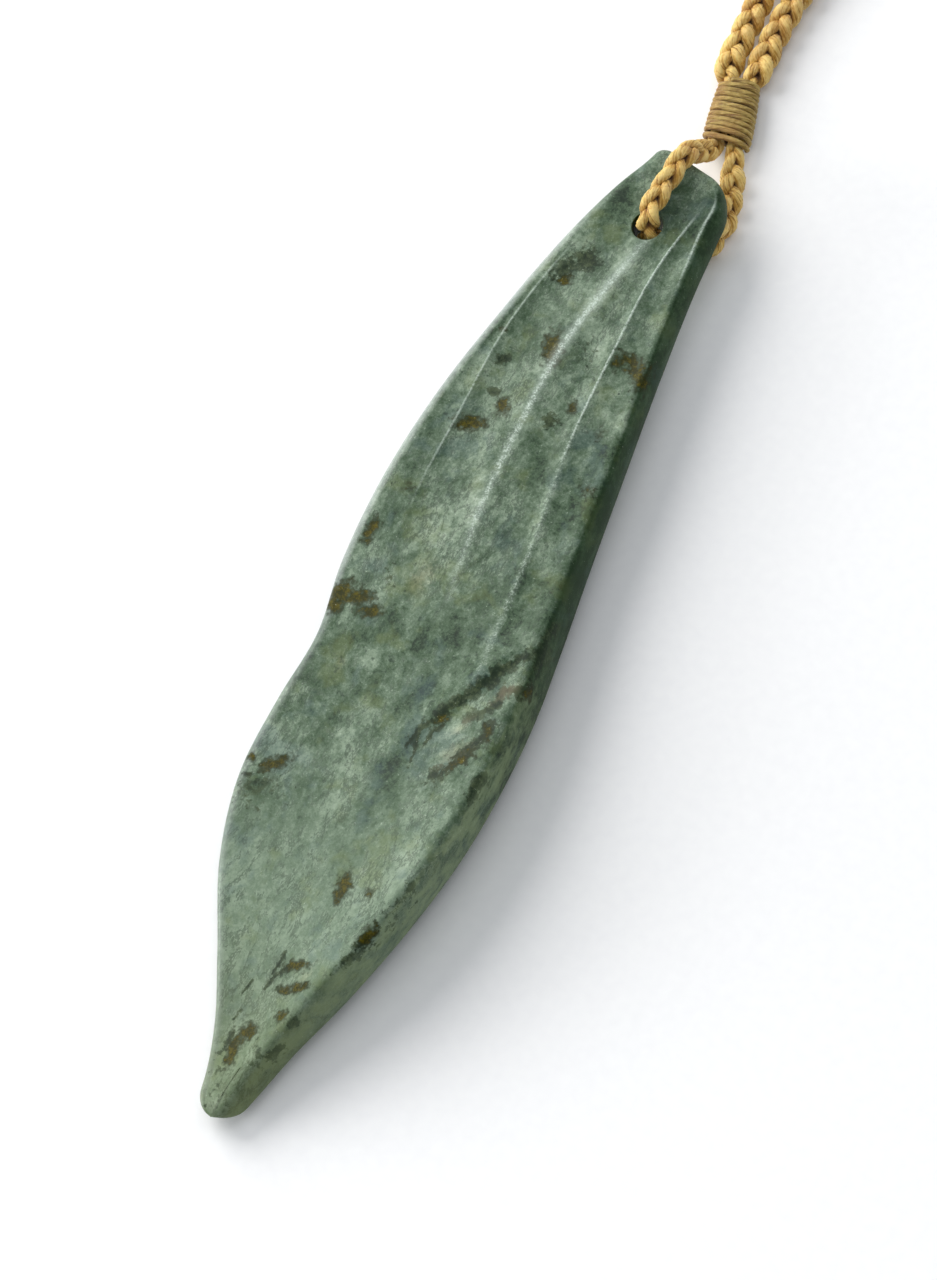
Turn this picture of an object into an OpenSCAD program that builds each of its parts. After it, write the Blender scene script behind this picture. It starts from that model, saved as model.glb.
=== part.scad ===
// Greenstone leaf pendant on its plaited neck cord, lying on its back with the cord laid out flat.
// The leaf's long axis runs along Y with the tip towards -Y, and the face looks up along +Z.

/* [Leaf] */
// Length of the leaf from its hole end to its tip
leaf_len = 100; // [95:1:105]
// Depth of the hollow in the lower half of the face
dish_deep = 0.9; // [0.2:0.1:1.2]
// Height of the fold that crosses the face where the blade turns
fold_high = 0.4; // [0:0.1:0.8]
// Width of that fold
fold_wide = 1.25; // [0.8:0.05:2]
// Radius that rounds off the hole end
end_round = 1.0; // [0.8:0.1:1.4]
// Radius that rounds off the tip
tip_round = 2.2; // [1.5:0.1:2.4]
// Slope of the hole end's edge across the leaf
end_slant = 0.27; // [0.2:0.01:0.35]
// How far the hole end stands beyond the leaf's measured start
end_push = 0.68; // [0.6:0.02:0.72]

/* [Cord hole] */
// Diameter of the hole that the cord goes through
hole_d = 3.0; // [2.9:0.1:3.2]
// Place of the hole across the leaf
hole_x = -1.25; // [-1.3:0.05:-1.15]
// Distance of the hole from the hole end
hole_along = 6.85; // [6.8:0.05:6.95]

/* [Cord] */
// Number of sides of the cord's tube
cord_sides = 8; // [8:1:10]

/* [Whipping] */
// Length of the bound thread over both strands
whip_len = 6.4; // [6:0.1:6.6]
// Turns of thread along that length
whip_turns = 11; // [9:1:12]
// Thickness of the thread wall
whip_wall = 0.4; // [0.35:0.05:0.45]
// Depth of the groove between two turns
whip_groove = 0.1; // [0.05:0.01:0.15]
// Radius of the channel for each strand
whip_bore_r = 0.95; // [0.92:0.01:0.98]
// Turn of the whipping to the left of the leaf's axis, in degrees
whip_turn = 13.8; // [13.2:0.2:14.4]

/* [Nape binding] */
// Length of the plain binding over the joined ends
nape_len = 10; // [8:1:11]
// Outer radius of the binding
nape_r = 2.0; // [1.9:0.1:2]
// Radius of its channel
nape_bore_r = 1.5; // [1.45:0.05:1.6]

/* [Hidden] */
leaf_half = 50;
origin_y = 150;
whip_x = -0.98;
whip_y = 59.55;
whip_z = 1.4;
strand_apart = 2.0;
nape_y = 348;

// Columns of the leaf table: distance from the hole end, places across, heights above the floor
ALONG = 0;
LEFT = 1;
EDGE = 2;
WALL = 3;
Z_LEFT = 4;
Z_EDGE = 5;
Z_WALL = 6;
Z_LOW = 7;
RIM = 8;
SHOULDER = 9;
// One row a section: LEFT is the left outline, EDGE the edge at the right of the face, WALL the
// foot of the side wall, Z_LOW the lowest point of the back, RIM the left edge's radius and
// SHOULDER how far from the right edge its rounding starts, on the face and on the wall
LEAF = [
    [0, -4.1, 2.9, 3.5, 6.3, 6.5, 4.3, 3.2, 1.0, 0.5],
    [2, -4.75, 3.9, 4.6, 6.4, 6.6, 4.25, 3.2, 1.05, 0.5],
    [5, -6.2, 4.0, 4.9, 6.5, 6.7, 4.2, 3.2, 1.1, 0.5],
    [10, -8.3, 4.4, 5.1, 6.6, 6.8, 4.0, 3.0, 1.2, 0.5],
    [20, -10.9, 5.5, 5.9, 6.5, 7.0, 3.4, 2.3, 1.3, 0.6],
    [30, -12.9, 6.8, 7.0, 6.1, 7.1, 2.9, 1.5, 1.3, 0.9],
    [40, -13.9, 7.8, 8.2, 5.4, 7.3, 2.6, 0.9, 1.3, 1.1],
    [48, -13.8, 9.0, 9.3, 4.4, 7.8, 2.5, 0.5, 1.1, 1.2],
    [55, -12.8, 9.8, 10.1, 3.7, 8.2, 2.4, 0.2, 0.9, 1.2],
    [62, -13.4, 10.2, 10.3, 3.1, 8.4, 2.3, 0.1, 0.8, 1.1],
    [70, -13.4, 9.7, 9.8, 2.7, 8.4, 2.2, 0.1, 0.8, 1.1],
    [78, -11.2, 8.2, 8.3, 2.5, 8.0, 2.1, 0.1, 0.8, 1.2],
    [86, -7.1, 5.3, 6.1, 2.4, 6.8, 1.9, 0.2, 0.8, 1.3],
    [92, -4.1, 3.0, 4.0, 2.4, 5.3, 1.7, 0.3, 0.8, 1.2],
    [96, -2.7, 1.6, 2.9, 2.4, 4.2, 1.6, 0.4, 0.8, 0.9],
    [100, -1.9, 0.9, 1.8, 2.4, 3.4, 1.6, 0.5, 0.8, 0.8],
];
// Three carved veins: distance from the hole end, then each vein's place as a share of the face
VEINS = [
    [0, 0.03, 0.62, 0.93],
    [10, 0.03, 0.53, 0.77],
    [20, 0.04, 0.44, 0.75],
    [30, 0.12, 0.455, 0.745],
    [40, 0.15, 0.48, 0.79],
    [50, 0.20, 0.52, 0.78],
    [60, 0.25, 0.55, 0.76],
];
// The four flutes between the veins: depth, where each begins and is full, where it fades and ends
DEEP = 0;
BEGIN = 1;
FULL = 2;
FADE = 3;
GONE = 4;
FLUTES = [
    [0.12, 12, 28, 30, 44],
    [0.33, 4, 20, 30, 50],
    [0.30, 0, 12, 38, 54],
    [0.32, 0, 10, 44, 58],
];
// The fold leaves the right edge at fold_at and runs down across the face with this slope
fold_at = 47;
fold_slope = 0.53;

// Routes of the two strands, from the middle of the hole to the nape: x, y, height, radius
ROUTE_LEFT = [
    [-1.2, 43.15, 4.9, 1.05],
    [-1.2, 43.15, 6.0, 1.05],
    [-1.22, 43.45, 7.1, 1.05],
    [-1.3, 44.5, 7.8, 1.1],
    [-1.2, 46.4, 7.85, 1.1],
    [-1.0, 48.5, 7.85, 1.1],
    [-0.9, 50.2, 7.7, 1.1],
    [-0.8, 51.6, 6.95, 1.1],
    [-0.75, 52.3, 5.8, 1.1],
    [-0.75, 53.2, 4.6, 1.1],
    [-0.7, 54.1, 3.3, 1.05],
    [-0.8, 54.95, 2.2, 0.95],
    [-1.12, 55.91, 1.45, 0.85],
    [-1.3, 56.64, 1.4, 0.85],
    [-2.74, 62.52, 1.4, 0.85],
    [-3.39, 63.49, 1.4, 1.28],
    [-3.85, 67.0, 1.4, 1.35],
    [-3.95, 70.0, 1.4, 1.35],
    [-4.1, 74.0, 1.4, 1.35],
    [-5.0, 79.0, 1.4, 1.35],
    [-7.0, 86.0, 1.4, 1.35],
    [-10.5, 95.0, 1.4, 1.35],
    [-15.5, 105.0, 1.4, 1.35],
    [-22.0, 116.0, 1.4, 1.35],
    [-33.0, 131.5, 1.4, 1.35],
    [-43.8, 149.0, 1.4, 1.35],
    [-53.0, 168.0, 1.4, 1.35],
    [-59.0, 184.0, 1.4, 1.35],
    [-63.5, 200.0, 1.4, 1.35],
    [-66.5, 216.0, 1.4, 1.35],
    [-68.2, 234.0, 1.4, 1.35],
    [-68.6, 256.0, 1.4, 1.35],
    [-67.5, 277.0, 1.4, 1.35],
    [-64.5, 291.0, 1.4, 1.35],
    [-59.5, 304.5, 1.4, 1.35],
    [-52.5, 317.0, 1.4, 1.35],
    [-44.0, 327.5, 1.4, 1.35],
    [-34.5, 336.0, 1.4, 1.35],
    [-24.0, 342.3, 1.5, 1.35],
    [-14.0, 346.2, 1.8, 1.35],
    [-6.0, 348.0, 2.0, 1.35],
    [0, 348.0, 2.0, 1.35],
];
ROUTE_RIGHT = [
    [-1.2, 43.15, 4.9, 1.05],
    [-1.2, 43.15, 3.8, 1.05],
    [-1.0, 43.2, 2.6, 1.05],
    [0.2, 43.6, 1.5, 1.1],
    [1.9, 44.5, 1.3, 1.2],
    [3.05, 45.6, 1.3, 1.25],
    [3.55, 47.0, 1.3, 1.25],
    [3.4, 48.9, 1.3, 1.25],
    [2.9, 50.7, 1.3, 1.25],
    [2.3, 52.4, 1.3, 1.25],
    [1.75, 53.9, 1.35, 1.15],
    [1.3, 54.95, 1.4, 0.98],
    [0.83, 56.39, 1.4, 0.85],
    [0.65, 57.12, 1.4, 0.85],
    [-0.8, 62.99, 1.4, 0.85],
    [-0.67, 64.16, 1.4, 1.28],
    [-0.85, 67.5, 1.4, 1.35],
    [-0.85, 71.0, 1.4, 1.35],
    [-0.45, 75.0, 1.4, 1.35],
    [0.5, 80.0, 1.4, 1.35],
    [3.0, 87.0, 1.4, 1.35],
    [7.5, 95.5, 1.4, 1.35],
    [14.0, 105.5, 1.4, 1.35],
    [22.0, 116.0, 1.4, 1.35],
    [33.0, 131.5, 1.4, 1.35],
    [43.8, 149.0, 1.4, 1.35],
    [53.0, 168.0, 1.4, 1.35],
    [59.0, 184.0, 1.4, 1.35],
    [63.5, 200.0, 1.4, 1.35],
    [66.5, 216.0, 1.4, 1.35],
    [68.2, 234.0, 1.4, 1.35],
    [68.6, 256.0, 1.4, 1.35],
    [67.5, 277.0, 1.4, 1.35],
    [64.5, 291.0, 1.4, 1.35],
    [59.5, 304.5, 1.4, 1.35],
    [52.5, 317.0, 1.4, 1.35],
    [44.0, 327.5, 1.4, 1.35],
    [34.5, 336.0, 1.4, 1.35],
    [24.0, 342.3, 1.5, 1.35],
    [14.0, 346.2, 1.8, 1.35],
    [6.0, 348.0, 2.0, 1.35],
    [0, 348.0, 2.0, 1.35],
];

function clamp(v, low, high) = min(max(v, low), high);
function smooth_step(a, b, v) = let (t = clamp((v - a) / (b - a), 0, 1)) t * t * (3 - 2 * t);
// Row of a table that v falls in, by its first column
function row_of(v, table, i = 0) =
    i >= len(table) - 2 || v < table[i + 1][0] ? i : row_of(v, table, i + 1);
// Slope of a column at a row: the slopes to both neighbours, the nearer one counting more
function slope_between(table, col, i) =
    (table[i + 1][col] - table[i][col]) / (table[i + 1][0] - table[i][0]);
function slope_at(table, col, i) =
    i == 0 ? slope_between(table, col, 0)
    : i == len(table) - 1 ? slope_between(table, col, i - 1)
    : let (
        before = table[i][0] - table[i - 1][0],
        after = table[i + 1][0] - table[i][0]
    ) (slope_between(table, col, i - 1) * after + slope_between(table, col, i) * before)
        / (before + after);
// A column's value at v, on the smooth curve through its rows
function value_at(v, table, col) =
    let (
        i = row_of(v, table),
        h = table[i + 1][0] - table[i][0],
        t = (v - table[i][0]) / h,
        t2 = t * t,
        t3 = t2 * t
    ) (2 * t3 - 3 * t2 + 1) * table[i][col]
        + (t3 - 2 * t2 + t) * h * slope_at(table, col, i)
        + (3 * t2 - 2 * t3) * table[i + 1][col]
        + (t3 - t2) * h * slope_at(table, col, i + 1);

// Shape across one flute, w from 0 to 1: sharp at a vein, but running softly into the middle one
function flute_shape(k, w) =
    k == 1 ? 6.75 * w * (1 - w) * (1 - w)
    : k == 2 ? 6.75 * w * w * (1 - w)
    : 4 * w * (1 - w);
// Depth of the four flutes at share t of the face
function flute_depth(t, s) =
    let (
        sv = min(s, 60),
        v = [0, value_at(sv, VEINS, 1), value_at(sv, VEINS, 2), value_at(sv, VEINS, 3), 1],
        parts = [
            for (k = [0:3])
                let (w = clamp((t - v[k]) / (v[k + 1] - v[k]), 0, 1))
                FLUTES[k][DEEP] * flute_shape(k, w)
                    * smooth_step(FLUTES[k][BEGIN], FLUTES[k][FULL], s)
                    * (1 - smooth_step(FLUTES[k][FADE], FLUTES[k][GONE], s))
        ]
    ) parts[0] + parts[1] + parts[2] + parts[3];
// Depth of the face below the straight line between its two edges: flutes, then dish, less the fold
function face_depth(t, s, x) =
    let (
        off = (x - (value_at(fold_at, LEAF, EDGE) - fold_slope * (s - fold_at))) / fold_wide,
        fold = fold_high * exp(-off * off) * smooth_step(44, 48, s)
            * (1 - smooth_step(54, 66, s)) * smooth_step(0, 0.12, 1 - t),
        dish = dish_deep * smooth_step(46, 66, s) * (1 - smooth_step(88, 98, s)) * 4 * t * (1 - t)
    ) flute_depth(t, s) + dish - fold;

rim_n = 4;
face_n = 24;
shoulder_n = 4;
wall_n = 4;
back_n = 14;
// One section as points of x and height: rim, face, shoulder, side wall and back, in turn
function rim_points(xl, zl, rim) = [
    for (i = [0:rim_n - 1])
        let (a = 90 * i / rim_n)
        [xl + rim - rim * cos(a), zl - rim + rim * sin(a)]
];
function face_points(s, xl, xe, zl, ze, rim, round) = [
    for (i = [0:face_n])
        let (t = (1 - round / (xe - xl - rim)) * i / face_n, x = xl + rim + (xe - xl - rim) * t)
        [x, zl + (ze - zl) * t - face_depth(t, s, x)]
];
function wall_points(xe, xw, ze, zw, round) = [
    for (i = [0:wall_n])
        let (first = round / norm([xw - xe, zw - ze]), t = first + (1 - first) * i / wall_n)
        [xe + (xw - xe) * t + 0.3 * sin(180 * t), ze + (zw - ze) * t]
];
// The rounding of the edge: a curve from a to b that is drawn towards the corner
function shoulder_points(a, corner, b) = [
    for (i = [1:shoulder_n - 1])
        let (t = i / shoulder_n)
        (1 - t) * (1 - t) * a + 2 * t * (1 - t) * corner + t * t * b
];
function back_points(xl, xw, zl, zw, low) = [
    for (i = [1:back_n - 1])
        let (a = 180 * i / back_n, w = (1 - cos(a)) / 2)
        [xw + (xl - xw) * w, zw + (zl - zw) * w - ((zw + zl) / 2 - low) * sin(a)]
];
function flat_section(s) =
    let (
        xl = value_at(s, LEAF, LEFT),
        xe = value_at(s, LEAF, EDGE),
        xw = value_at(s, LEAF, WALL),
        zl = value_at(s, LEAF, Z_LEFT),
        ze = value_at(s, LEAF, Z_EDGE),
        zw = value_at(s, LEAF, Z_WALL),
        low = value_at(s, LEAF, Z_LOW),
        rim = value_at(s, LEAF, RIM),
        round = value_at(s, LEAF, SHOULDER),
        face = face_points(s, xl, xe, zl, ze, rim, round),
        wall = wall_points(xe, xw, ze, zw, round)
    ) concat(
        rim_points(xl, zl, rim),
        face,
        shoulder_points(face[face_n], [xe, ze], wall[0]),
        wall,
        back_points(xl, xw, zl - rim, zw, low)
    );
// How far a section shrinks at distance d from a rounded end of radius r
function inset(d, r) = d >= r ? 0 : r - sqrt(r * r - (r - d) * (r - d));
function sum_col(list, col, i = 0, total = 0) =
    i == len(list) ? total : sum_col(list, col, i + 1, total + list[i][col]);
function column(list, col) = [for (p = list) p[col]];
// The section in space, rounded off near both ends and slanted at the hole end
function section(s) =
    let (
        flat = flat_section(s),
        xs = column(flat, 0),
        zs = column(flat, 1),
        cx = sum_col(flat, 0) / len(flat),
        cz = sum_col(flat, 1) / len(flat),
        half_x = (max(xs) - min(xs)) / 2,
        half_z = (max(zs) - min(zs)) / 2,
        shrink = inset(s, end_round) + inset(100 - s, tip_round),
        kx = max(1 - shrink / half_x, 0.02),
        kz = max(1 - shrink / half_z, 0.02),
        lead = 1 - smooth_step(0, 14, s),
        start = leaf_half - s * leaf_len / 100
    ) [
        for (p = flat)
            let (x = cx + (p[0] - cx) * kx)
            [x, start + lead * (end_push - end_slant * (x - 0.3)), cz + (p[1] - cz) * kz]
    ];
STATIONS = concat(
    [0, 0.2, 0.6, 1.1, 1.7],
    [for (s = [3:2:43]) s],
    [for (s = [44.5:1.5:67]) s],
    [for (s = [69:2:95]) s],
    [96.5, 97.8, 98.6, 99.2, 99.7, 100]
);

// Faces that join rings of n points in order and close both ends
function loft_faces(rings, n) = concat(
    [[for (i = [0:n - 1]) i]],
    [
        for (r = [0:rings - 2], i = [0:n - 1])
            let (a = r * n + i, b = r * n + (i + 1) % n)
            each [[a, a + n, b], [b, a + n, b + n]]
    ],
    [[for (i = [n - 1:-1:0]) (rings - 1) * n + i]]
);

function unit(v) = v / norm(v);
function place(p) = [p[0], p[1], p[2]];
// Direction of a route at each of its points
function heading(route, i) =
    i == 0 ? unit(place(route[1]) - place(route[0]))
    : i == len(route) - 1 ? unit(place(route[i]) - place(route[i - 1]))
    : let (
        back = place(route[i]) - place(route[i - 1]),
        ahead = place(route[i + 1]) - place(route[i])
    ) unit(unit(back) * norm(ahead) + unit(ahead) * norm(back));
// The side direction is carried along from ring to ring, so that the tube never twists
function sides_along(route, side, i = 0) =
    i == len(route) ? []
    : let (d = heading(route, i), next = unit(side - (side * d) * d))
    concat([next], sides_along(route, next, i + 1));
module cord_tube(route) {
    n = cord_sides;
    side = sides_along(route, [1, 0, 0]);
    points = [
        for (i = [0:len(route) - 1], k = [0:n - 1])
            let (
                d = heading(route, i),
                across = cross(d, side[i]),
                a = 360 * (k + 0.5) / n
            )
            place(route[i]) + route[i][3] * (cos(a) * side[i] + sin(a) * across)
    ];
    polyhedron(points, loft_faces(len(route), n), convexity = 8);
}

module leaf_blade() {
    rings = [for (s = STATIONS) section(s)];
    n = len(rings[0]);
    polyhedron([for (ring = rings) each ring], loft_faces(len(rings), n), convexity = 8);
}

// Outline of the thread wall: radius outwards, length upwards, one shallow hump a turn
function whip_outline() =
    let (pitch = whip_len / whip_turns, steps = 4, outer = whip_bore_r + whip_wall)
    concat(
        [[whip_bore_r, whip_len], [whip_bore_r, 0]],
        [
            for (k = [0:whip_turns * steps])
                [outer - whip_groove * (1 - abs(sin(180 * k / steps))), k * pitch / steps]
        ]
    );
module whip_end() {
    rotate([0, 0, -90])
        rotate_extrude(angle = 180, $fn = 48)
            polygon(whip_outline());
}
module whip_side() {
    rotate([90, 0, 90])
        translate([0, 0, -strand_apart / 2])
            linear_extrude(height = strand_apart)
                polygon(whip_outline());
}
module whip_sleeve() {
    translate([strand_apart / 2, 0, 0])
        whip_end();
    mirror([1, 0, 0])
        translate([strand_apart / 2, 0, 0])
            whip_end();
    whip_side();
    mirror([0, 1, 0])
        whip_side();
}

module leaf() {
    color("darkseagreen")
        translate([0, -origin_y, 0])
            difference() {
                leaf_blade();
                translate([hole_x, leaf_half - hole_along, -1])
                    cylinder(d = hole_d, h = 12, $fn = 48);
            }
}
module cord_left() {
    color("darkgoldenrod")
        translate([0, -origin_y, 0])
            cord_tube(ROUTE_LEFT);
}
module cord_right() {
    color("goldenrod")
        translate([0, -origin_y, 0])
            cord_tube(ROUTE_RIGHT);
}
module whipping() {
    color("olive")
        translate([whip_x, whip_y - origin_y, whip_z])
            rotate([0, 0, whip_turn])
                rotate([-90, 0, 0])
                    translate([0, 0, -whip_len / 2])
                        whip_sleeve();
}
module nape_binding() {
    color("peru")
        translate([-nape_len / 2, nape_y - origin_y, nape_r])
            rotate([0, 90, 0])
                difference() {
                    cylinder(r = nape_r, h = nape_len, $fn = 48);
                    translate([0, 0, -1])
                        cylinder(r = nape_bore_r, h = nape_len + 2, $fn = 48);
                }
}

leaf();
cord_left();
cord_right();
whipping();
nape_binding();
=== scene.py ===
# %% [markdown]
# # A greenstone leaf on a plaited cord
# The real thing is one carved and polished leaf of dark green stone, about 100 mm long, hung
# through a drilled hole on a neck cord of waxed, plaited thread. A winding of thin thread holds
# the cord's two sides together above the hole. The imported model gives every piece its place,
# so the first step only loads it and keeps its box to measure against at the end.

# %% Load the fixed frame
import math

import bpy
import numpy as np
from mathutils import Matrix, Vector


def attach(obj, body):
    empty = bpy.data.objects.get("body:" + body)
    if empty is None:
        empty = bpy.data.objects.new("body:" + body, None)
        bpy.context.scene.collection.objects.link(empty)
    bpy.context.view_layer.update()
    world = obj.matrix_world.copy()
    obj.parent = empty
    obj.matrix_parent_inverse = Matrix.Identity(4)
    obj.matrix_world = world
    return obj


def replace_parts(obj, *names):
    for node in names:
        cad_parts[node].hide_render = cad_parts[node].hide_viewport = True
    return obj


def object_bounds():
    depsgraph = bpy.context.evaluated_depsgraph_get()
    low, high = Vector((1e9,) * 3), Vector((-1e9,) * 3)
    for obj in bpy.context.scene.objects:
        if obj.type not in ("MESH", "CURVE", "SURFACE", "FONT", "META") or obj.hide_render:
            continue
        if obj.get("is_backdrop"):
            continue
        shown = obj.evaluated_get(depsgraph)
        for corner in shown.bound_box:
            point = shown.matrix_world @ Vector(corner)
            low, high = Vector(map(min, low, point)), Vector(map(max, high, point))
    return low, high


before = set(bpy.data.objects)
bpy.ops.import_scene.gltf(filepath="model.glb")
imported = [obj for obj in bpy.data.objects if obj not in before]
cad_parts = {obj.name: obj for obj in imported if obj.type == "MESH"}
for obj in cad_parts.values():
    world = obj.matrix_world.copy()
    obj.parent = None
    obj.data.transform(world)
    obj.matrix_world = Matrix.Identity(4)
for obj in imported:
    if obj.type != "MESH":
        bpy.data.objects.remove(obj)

cad_low, cad_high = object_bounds()
mm = 0.001
leaf_middle = 150  # the tables count y from the leaf's middle, 150 mm tipwards of the frame's origin
print("pieces to dress:", sorted(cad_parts))

# %% [markdown]
# The camera comes first, because everything is judged through it. It looks down on the leaf at
# about 63 degrees, from the tip's end and a little from the right, through a long lens, rolled so
# that the leaf runs up the picture from lower left to upper right. Its directions are worked out
# as vectors and set as one matrix, so no constraint has to be undone later.

# %% Camera
def unit(v):
    """Vectors divided by their lengths, one or a whole array."""
    v = np.asarray(v, float)
    return v / np.linalg.norm(v, axis=-1, keepdims=True)


def lens_axes(to_right, to_tip, roll):
    """Right, up and back of a camera as rows: back leans by two angles off straight up, then the
    other two turn about it by the roll."""
    back = unit([math.tan(math.radians(to_right)), -math.tan(math.radians(to_tip)), 1.0])
    level = unit(np.cross([0, 1, 0], back))
    upright = np.cross(back, level)
    c, s = math.cos(math.radians(roll)), math.sin(math.radians(roll))
    return np.stack([c * level + s * upright, c * upright - s * level, back])


def placed(name, data):
    """A new object that shows this data, linked into the scene at the frame's origin."""
    thing = bpy.data.objects.new(name, data)
    bpy.context.scene.collection.objects.link(thing)
    return thing


def aimed(thing, axes, spot):
    """The camera or lamp, turned to the rows of its own axes and set at a spot."""
    turn = np.eye(4)
    turn[:3] = np.stack([*axes, spot], -1)
    thing.matrix_world = Matrix(turn.tolist())
    return thing


cam_axes = lens_axes(to_right=22, to_tip=18, roll=27.8)
aim = np.array([1.25, -0.54 - leaf_middle, 4.0]) * mm
spot = aim + 389.5 * mm * cam_axes[2]
lens = bpy.data.cameras.new("lens")
lens.lens, lens.sensor_width = 120, 36
lens.clip_start, lens.clip_end = 0.01, 20
camera = aimed(placed("camera", lens), cam_axes, spot)
bpy.context.scene.camera = camera
print("camera at", np.round(spot, 3), "m, height angle", round(math.degrees(math.asin(cam_axes[2, 2])), 1))

# %% [markdown]
# Two kinds of helper serve every piece. One draws a smooth curve through the rows of a table, so
# that a dozen measured sections steer a form. The other turns a grid of points into a mesh: a form
# is a function of two parameters, worked out as one array, its faces are simply the cells of the
# grid, and a fan to one middle point closes each end.

# %% Curves through tables, and grids into meshes
def through(table, column, s):
    """Smooth curve through one column of a table, over its first column: between two rows, the
    cubic that meets both with the slope of their neighbours, the nearer one counting more."""
    along, value = table[:, 0], table[:, column]
    slope = np.gradient(value, along)
    i = np.clip(np.searchsorted(along, s, side="right") - 1, 0, len(along) - 2)
    h = along[i + 1] - along[i]
    t = (s - along[i]) / h
    t2, t3 = t * t, t * t * t
    return (
        (2 * t3 - 3 * t2 + 1) * value[i]
        + (t3 - 2 * t2 + t) * h * slope[i]
        + (3 * t2 - 2 * t3) * value[i + 1]
        + (t3 - t2) * h * slope[i + 1]
    )


def ease(a, b, v):
    """Smooth step from 0 at a to 1 at b: 3t squared less 2t cubed."""
    t = np.clip((np.asarray(v, float) - a) / (b - a), 0, 1)
    return t * t * (3 - 2 * t)


def cells(rows, columns, first=0):
    """Corner numbers of the four-sided cells of a grid that is round across its columns."""
    i, j = np.meshgrid(np.arange(rows - 1), np.arange(columns), indexing="ij")
    k = (j + 1) % columns
    quads = [i * columns + j, i * columns + k, (i + 1) * columns + k, (i + 1) * columns + j]
    return first + np.stack(quads, -1).reshape(-1, 4)


def fan(ring, middle, outward):
    """Triangles from a ring of corners to one middle point, wound to face outward."""
    after = np.roll(ring, -1)
    pair = (after, ring) if outward else (ring, after)
    return np.stack([*pair, np.full(len(ring), middle)], -1)


def faces_in(grid):
    """Whether a grid's cells face inward: a cell's normal, the cross product of its diagonals,
    should point away from the middle of its row."""
    p, q = grid[:-1], grid[1:]
    p1, q1 = np.roll(p, -1, axis=1), np.roll(q, -1, axis=1)
    normal = np.cross(q1 - p, q - p1)
    away = (p + p1 + q + q1) / 4 - ((p + q) / 2).mean(1, keepdims=True)
    return (normal * away).sum() <= 0


def lengths(line):
    """The distance along a line of points up to each of them."""
    return np.cumsum(np.r_[0, np.linalg.norm(np.diff(line, axis=0), axis=1)])


def unrolled(grid):
    """UV of every face corner of a grid and its end fans: the share of a turn round it, and the
    length in mm from its start."""
    rows, columns, _ = grid.shape
    run = lengths(grid.mean(1))
    i, j = np.meshgrid(np.arange(rows - 1), np.arange(columns), indexing="ij")
    u = np.stack([j, j + 1, j + 1, j], -1) / columns
    v = np.stack([run[i], run[i], run[i + 1], run[i + 1]], -1)
    sides = np.stack([u, v], -1).reshape(-1, 2)
    ends = np.repeat([[0.5, 0.0], [0.5, run[-1]]], 3 * columns, axis=0)
    return np.concatenate([sides, ends])


def skin(name, grids, finish, crowns=None):
    """One mesh at the frame's origin from several round grids of points in mm (rows, columns, 3),
    each closed at both ends. Crowns are numbers for its points."""
    points, faces, uv, kept, first = [], [], [], [], 0
    for k, grid in enumerate(grids):
        way = -1 if faces_in(grid) else 1
        grid = grid[:, ::way]
        rows, columns, _ = grid.shape
        points += [grid.reshape(-1, 3), grid[[0, -1]].mean(1)]
        ring = first + np.arange(columns)
        ends = first + rows * columns
        faces += cells(rows, columns, first).tolist()
        faces += fan(ring, ends, True).tolist()
        faces += fan(ring + (rows - 1) * columns, ends + 1, False).tolist()
        uv.append(unrolled(grid))
        first = ends + 2
        if crowns:
            crown = crowns[k][:, ::way]
            kept += [crown.ravel(), crown[[0, -1]].mean(1)]
    mesh = bpy.data.meshes.new(name)
    mesh.from_pydata((np.concatenate(points) * mm).tolist(), [], faces)
    mesh.uv_layers.new(name="along").uv.foreach_set("vector", np.concatenate(uv).ravel())
    mesh.shade_smooth()
    mesh.materials.append(finish)
    if crowns:
        keep_field(mesh, "crown", np.concatenate(kept))
    print(name, "has", sum(len(f) - 2 for f in faces), "triangles")
    return placed(name, mesh)


def keep_field(mesh, name, values):
    """Keeps one number a point on the mesh, for the shader."""
    mesh.attributes.new(name, "FLOAT", "POINT").data.foreach_set("value", values.astype(np.float32))


def read_points(mesh, what, scale=1.0):
    """One vector a point of a mesh, such as its place in mm or its normal, as one array."""
    flat = np.empty(len(mesh.vertices) * 3)
    mesh.vertices.foreach_get(what, flat)
    return flat.reshape(-1, 3) * scale


# %% [markdown]
# Finishes are written as sums. Most of a shader's graph is arithmetic, so a small class wraps a
# socket and lets plain Python operators add the Math nodes. Colours never go through a Math node,
# which would turn them grey: Mix nodes blend them. Every other node comes from one method, by its
# kind, its settings and its inputs.

# %% Shader sums
def joins(operation, swapped=False):
    """A method that makes a Math node of two terms, each a Value or a plain number."""
    def method(self, other):
        terms = (other, self) if swapped else (self, other)
        return self.finish.node("ShaderNodeMath", {"operation": operation}, dict(enumerate(terms)))
    return method


class Value:
    """A number that varies over a surface. Adding, multiplying and so on adds Math nodes."""

    def __init__(self, finish, socket):
        self.finish, self.socket = finish, socket

    __add__ = __radd__ = joins("ADD")
    __mul__ = __rmul__ = joins("MULTIPLY")
    __sub__, __rsub__ = joins("SUBTRACT"), joins("SUBTRACT", swapped=True)
    __truediv__ = joins("DIVIDE")
    most, least = joins("MAXIMUM"), joins("MINIMUM")

    def step(self, low, high):
        """Eased from 0 at low to 1 at high."""
        wanted = {"Value": self, "From Min": low, "From Max": high}
        smooth = {"interpolation_type": "SMOOTHSTEP"}
        return self.finish.node("ShaderNodeMapRange", smooth, wanted, out="Result")


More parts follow.
